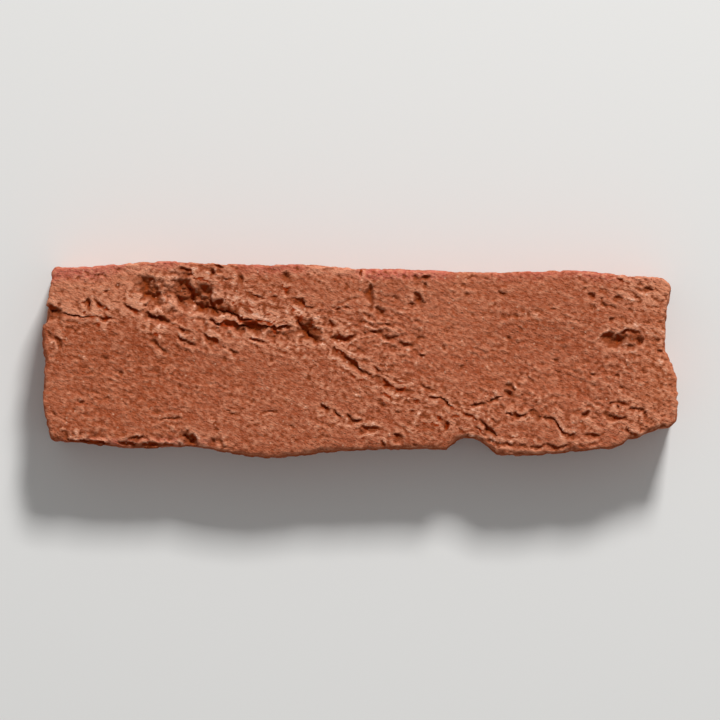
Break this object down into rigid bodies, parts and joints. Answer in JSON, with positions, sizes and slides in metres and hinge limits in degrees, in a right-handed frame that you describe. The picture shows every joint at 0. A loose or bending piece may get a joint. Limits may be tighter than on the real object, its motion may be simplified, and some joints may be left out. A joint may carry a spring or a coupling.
{
  "type": "brick slip",
  "caption": "Thin hand-moulded red clay brick slip with a creased, torn face, worn arrises, a broken corner and a flat sawn back, for bonding to a wall.",
  "frame": {"origin": "middle of the nominal 210 x 65 mm outline, on the flat sawn back", "axes": "+X along the length towards the broken lower corner's end, +Y towards the upper bed, +Z out of the moulded face"},
  "size_m": [0.21, 0.0651, 0.022],
  "materials": {
    "fired_clay": "matte"
  },
  "bodies": {
    "root": {"brick_slip": "fired_clay"}
  },
  "joints": []
}
